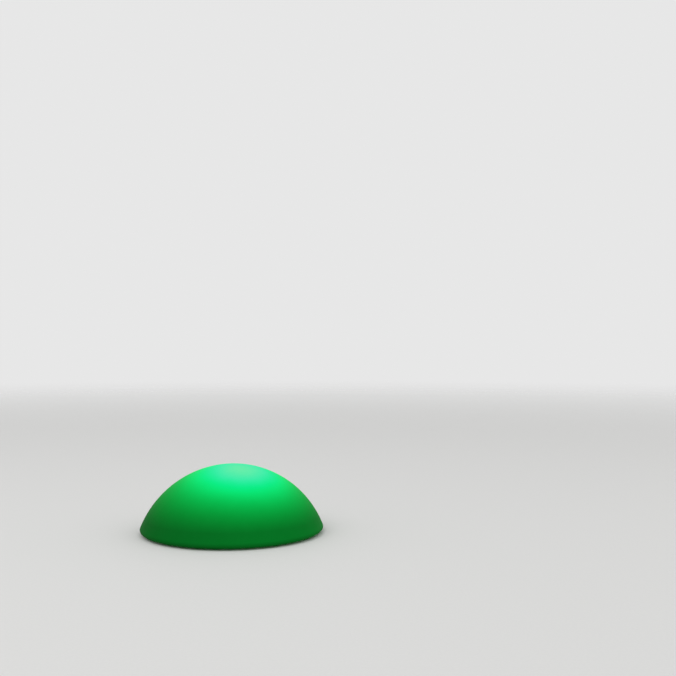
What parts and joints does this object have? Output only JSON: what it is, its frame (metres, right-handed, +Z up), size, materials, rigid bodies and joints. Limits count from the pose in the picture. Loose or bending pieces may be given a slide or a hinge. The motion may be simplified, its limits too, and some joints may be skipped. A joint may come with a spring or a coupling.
{
  "type": "led dome light",
  "caption": "Low translucent dome light for the ground, lit from inside, with a screwed-in sealed light unit, a push button and a capped charging socket underneath.",
  "frame": {"origin": "on the floor on the dome's axis; the rubber feet stand on z = 0", "axes": "+Z up along the dome's axis, -Y towards the picture's camera, +X to that camera's right"},
  "size_m": [0.33, 0.33, 0.122],
  "materials": {
    "lit_shell": "milky translucent polyethylene, satin, lit green from inside",
    "foot_rubber": "matt black rubber",
    "brass": "turned brass",
    "screw_steel": "stainless steel",
    "silicone": "grey silicone sheet",
    "tub_plastic": "light grey moulded ABS, finely textured",
    "cover_plastic": "frosted opal polycarbonate",
    "plate_aluminium": "milled aluminium sheet",
    "pad_silicone": "soft thermal pad",
    "led_board_white": "white solder mask",
    "led_package": "white package with a clear window",
    "receiver_black": "dark infrared-clear resin",
    "board_green": "green solder mask",
    "chip_black": "black moulded epoxy",
    "coil_ferrite": "grey ferrite",
    "capacitor_can": "aluminium can",
    "header_nylon": "natural nylon",
    "cell_metal": null,
    "wrap_film": "blue shrink film",
    "strip_nickel": "spot-welded nickel",
    "foam_grey": "closed-cell foam",
    "bracket_plastic": "black moulded ABS",
    "button_plastic": "dark grey moulded ABS",
    "seal_rubber": "black nitrile rubber",
    "spring_steel": "stainless spring wire",
    "switch_plastic": "black nylon",
    "plunger_white": "white acetal",
    "socket_plastic": "black nylon",
    "contact_nickel": "nickel plate",
    "cap_rubber": "dark grey silicone rubber",
    "pipe_acrylic": "clear acrylic",
    "light_body": "white package",
    "wire_red": "red insulation",
    "wire_black": "black insulation",
    "wire_grey": "grey insulation"
  },
  "bodies": {
    "housing": {"dome_shell": "lit_shell", "rubber_feet": "foot_rubber", "brass_inserts": "brass", "flange_screws": "screw_steel", "flange_gasket": "silicone", "light_unit_tub": "tub_plastic", "cover_gasket": "silicone", "led_cover": "cover_plastic", "cover_screws": "screw_steel", "heat_plate": "plate_aluminium", "heat_plate_screws": "screw_steel", "thermal_pad": "pad_silicone", "led_board": "led_board_white", "led_board_screws": "screw_steel", "colour_leds": "led_package", "remote_receiver": "receiver_black", "led_board_header": "header_nylon", "battery_cells": "cell_metal", "battery_protection_board": "board_green", "cell_strip": "strip_nickel", "battery_wrap": "wrap_film", "battery_foam": "foam_grey", "battery_bracket": "bracket_plastic", "bracket_screws": "screw_steel", "control_board": "board_green", "control_board_screws": "screw_steel", "microcontroller": "chip_black", "led_drivers": "chip_black", "charge_coil": "coil_ferrite", "capacitors": "capacitor_can", "control_board_headers": "header_nylon", "wire_plugs": "header_nylon", "power_switch": "switch_plastic", "button_spring": "spring_steel", "charging_socket": "socket_plastic", "socket_pin": "contact_nickel", "socket_seal": "silicone", "socket_nut": "contact_nickel", "port_cap_anchor": "cap_rubber", "charge_light_pipe": "pipe_acrylic", "charge_light": "light_body", "battery_lead_red": "wire_red", "battery_lead_black": "wire_black", "socket_leads": "wire_black", "led_leads": "wire_grey"},
    "button": {"power_button": "button_plastic", "button_seal": "seal_rubber", "button_clip": "spring_steel", "switch_plunger": "plunger_white"},
    "cap": {"port_cap": "cap_rubber"}
  },
  "joints": [
    {"name": "power_button", "type": "slide", "parent": "housing", "child": "button", "axis": [0, 0, 1], "range_m": [0, 0.0015], "stiffness_N_per_m": 800, "springref_m": -0.002, "deforming": ["button_spring"]},
    {"name": "port_cap", "type": "hinge", "parent": "housing", "child": "cap", "pos_m": [0.037, -0.02, 0.00665], "axis": [0, -1, 0], "range_deg": [0, 120]}
  ]
}
